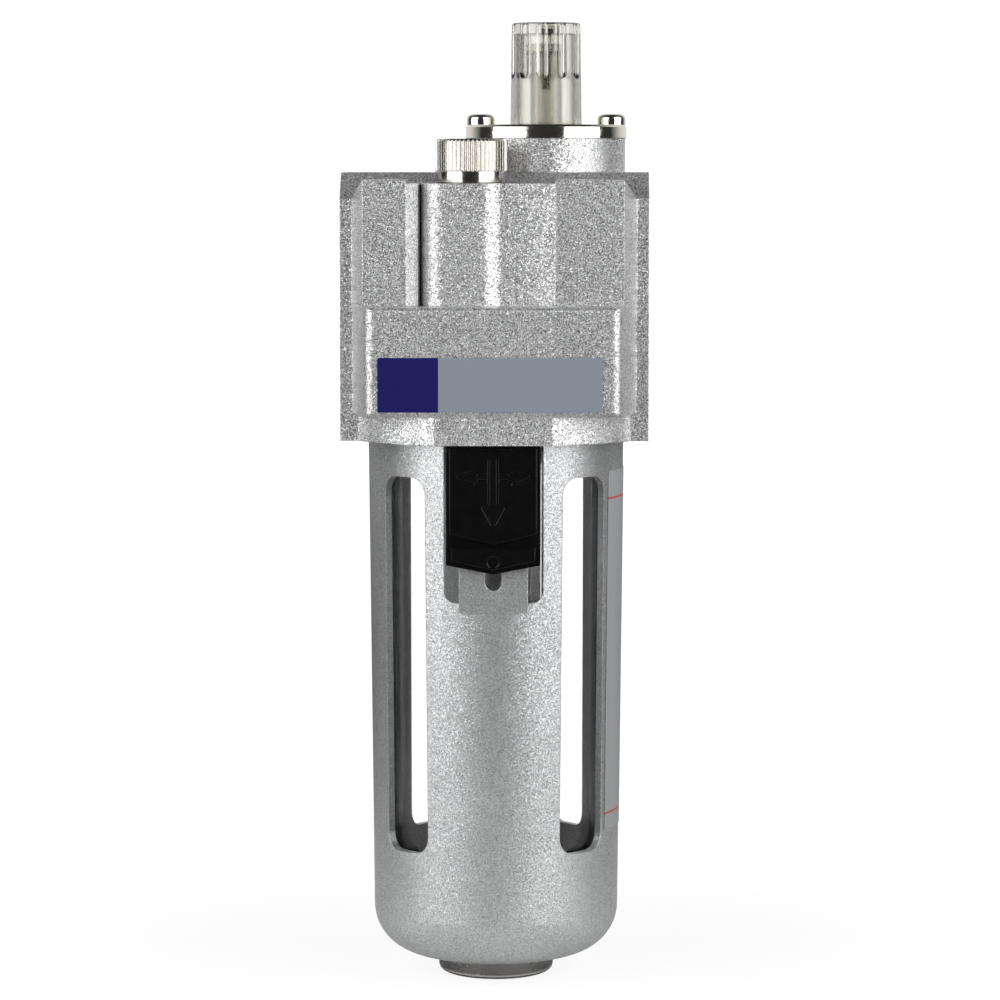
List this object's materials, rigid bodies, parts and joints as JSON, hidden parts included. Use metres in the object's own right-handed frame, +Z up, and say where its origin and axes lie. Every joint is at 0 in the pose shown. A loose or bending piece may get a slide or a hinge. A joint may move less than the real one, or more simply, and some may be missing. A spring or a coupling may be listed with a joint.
{
  "type": "air line lubricator",
  "caption": "Modular oil mist lubricator for a compressed air line: cast body with side ports, clear bowl in a slotted guard, lock button, fill plug and sight dome.",
  "frame": {"origin": "on the bowl's axis, level with the underside of the bowl's foot", "axes": "+X along the air line towards the outlet, -Y to the front with the lock button, +Z up"},
  "size_m": [0.09, 0.0914, 0.2841],
  "materials": {
    "silver_casting": "silver painted fine-grained die casting",
    "silver_guard": "silver painted, fine-grained",
    "foil": "satin printed foil, bare of print",
    "nickel": "bright nickel plate",
    "steel": "bright steel",
    "brass": "turned brass",
    "bronze": "sintered bronze",
    "clear_dome": "clear moulded plastic",
    "clear_bowl": "clear moulded plastic",
    "clear_tube": "clear extruded plastic",
    "black_plastic": "glossy black moulding",
    "white_plastic": "plain moulding",
    "seal_rubber": "black seal rubber",
    "label": "thin satin film"
  },
  "bodies": {
    "housing": {"body": "silver_casting", "nameplate": "foil", "dome_plate": "nickel", "plate_screws": "nickel", "dome_washer": "white_plastic", "dome_seal": "seal_rubber", "drip_cap": "clear_dome", "drip_tube": "brass", "bowl_guard": "silver_guard", "guard_label": "label", "bowl": "clear_bowl", "bowl_seal": "seal_rubber", "lock_spring": "steel", "siphon_fitting": "brass", "siphon_tube": "clear_tube", "oil_strainer": "bronze", "valve_guide": "white_plastic", "valve_clip": "steel", "bypass_spring": "steel", "bowl_jet": "brass"},
    "dome": {"sight_dome": "clear_dome"},
    "needle_screw": {"needle": "steel"},
    "plug_ring": {"fill_plug_seal": "seal_rubber"},
    "plug": {"fill_plug": "nickel"},
    "latch": {"lock_button": "black_plastic"},
    "ball": {"check_ball": "steel"},
    "bypass": {"bypass_valve": "black_plastic", "valve_nut": "brass"}
  },
  "joints": [
    {"name": "dome_turn", "type": "hinge", "parent": "housing", "child": "dome", "pos_m": [0.0148, 0.008, 0.26], "axis": [0, 0, 1], "range_deg": [0, 540.1]},
    {"name": "needle_rise", "type": "slide", "parent": "dome", "child": "needle_screw", "axis": [0, 0, 1], "range_m": [0, 0.00075]},
    {"name": "plug_rise", "type": "slide", "parent": "housing", "child": "plug_ring", "axis": [0, 0, 1], "range_m": [0, 0.0075]},
    {"name": "plug_turn", "type": "hinge", "parent": "plug_ring", "child": "plug", "pos_m": [-0.0068, -0.0235, 0.24], "axis": [0, 0, 1], "range_deg": [0, 1800.1]},
    {"name": "button_slide", "type": "slide", "parent": "housing", "child": "latch", "axis": [0, 0, -1], "range_m": [0, 0.0036], "stiffness_N_per_m": 400, "springref_m": -0.002, "deforming": ["lock_spring"]},
    {"name": "ball_lift", "type": "slide", "parent": "housing", "child": "ball", "axis": [0, 0, 1], "range_m": [0, 0.0015]},
    {"name": "bypass_open", "type": "slide", "parent": "housing", "child": "bypass", "axis": [1, 0, 0], "range_m": [0, 0.004], "stiffness_N_per_m": 300, "springref_m": -0.0005, "deforming": ["bypass_spring"]}
  ],
  "couplings": [
    {"joint": "dome_turn", "follows": "needle_rise", "rad_per_m": 12566},
    {"joint": "plug_turn", "follows": "plug_rise", "rad_per_m": 4188.8}
  ]
}
